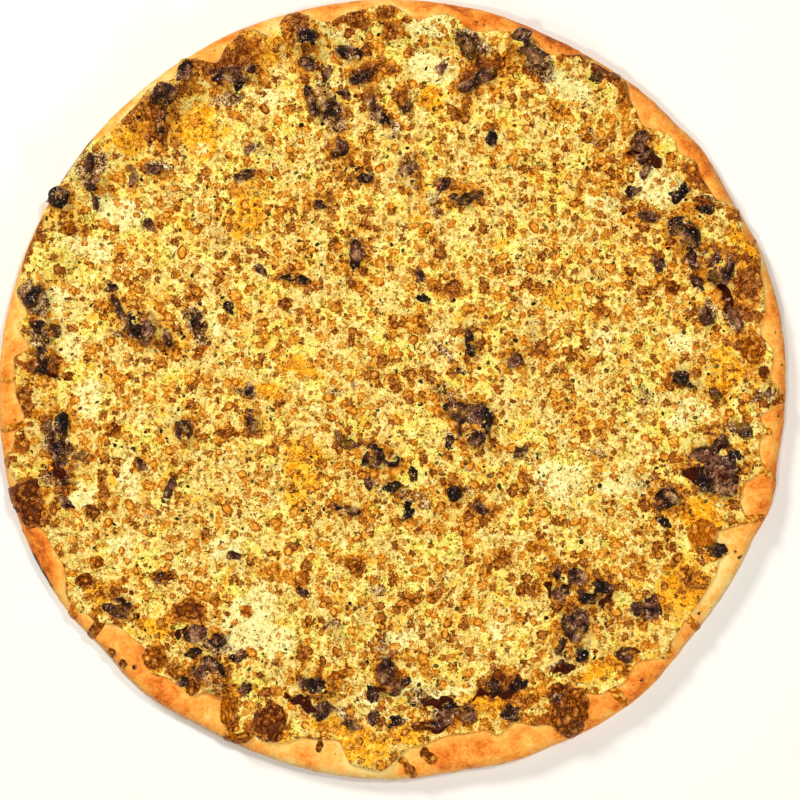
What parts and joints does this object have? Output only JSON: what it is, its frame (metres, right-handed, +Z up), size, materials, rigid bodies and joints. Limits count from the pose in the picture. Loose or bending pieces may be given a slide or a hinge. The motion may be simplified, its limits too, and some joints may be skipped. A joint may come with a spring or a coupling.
{
  "type": "barbecue steak pizza",
  "caption": "Whole uncut round pizza with a raised browned crust, blistered melted cheese and dark glazed pieces of steak.",
  "frame": {"origin": "middle of the flat underside, under the centre of the outline", "axes": "+Z up through the pizza, +X to the right and +Y to the top of the picture, which looks down on it"},
  "size_m": [0.3592, 0.356, 0.024],
  "materials": {
    "crust": "matte, baked and floury",
    "cheese": "oily satin, blistered",
    "steak": "glazed with sauce"
  },
  "bodies": {
    "root": {"crust": "crust", "cheese": "cheese", "steak_01": "steak", "steak_02": "steak", "steak_03": "steak", "steak_04": "steak", "steak_05": "steak", "steak_06": "steak", "steak_07": "steak", "steak_08": "steak", "steak_09": "steak", "steak_10": "steak", "steak_11": "steak", "steak_12": "steak", "steak_13": "steak", "steak_14": "steak", "steak_15": "steak", "steak_16": "steak", "steak_17": "steak", "steak_18": "steak", "steak_19": "steak", "steak_20": "steak", "steak_21": "steak", "steak_22": "steak", "steak_23": "steak", "steak_24": "steak", "steak_25": "steak", "steak_26": "steak", "steak_27": "steak", "steak_28": "steak", "steak_29": "steak", "steak_30": "steak", "steak_31": "steak", "steak_32": "steak", "steak_33": "steak", "steak_34": "steak", "steak_35": "steak", "steak_36": "steak", "steak_37": "steak", "steak_38": "steak", "steak_39": "steak", "steak_40": "steak", "steak_41": "steak", "steak_42": "steak", "steak_43": "steak", "steak_44": "steak", "steak_45": "steak", "steak_46": "steak", "steak_47": "steak", "steak_48": "steak", "steak_49": "steak", "steak_50": "steak", "steak_51": "steak", "steak_52": "steak", "steak_53": "steak", "steak_54": "steak", "steak_55": "steak", "steak_56": "steak", "steak_57": "steak", "steak_58": "steak"}
  },
  "joints": []
}
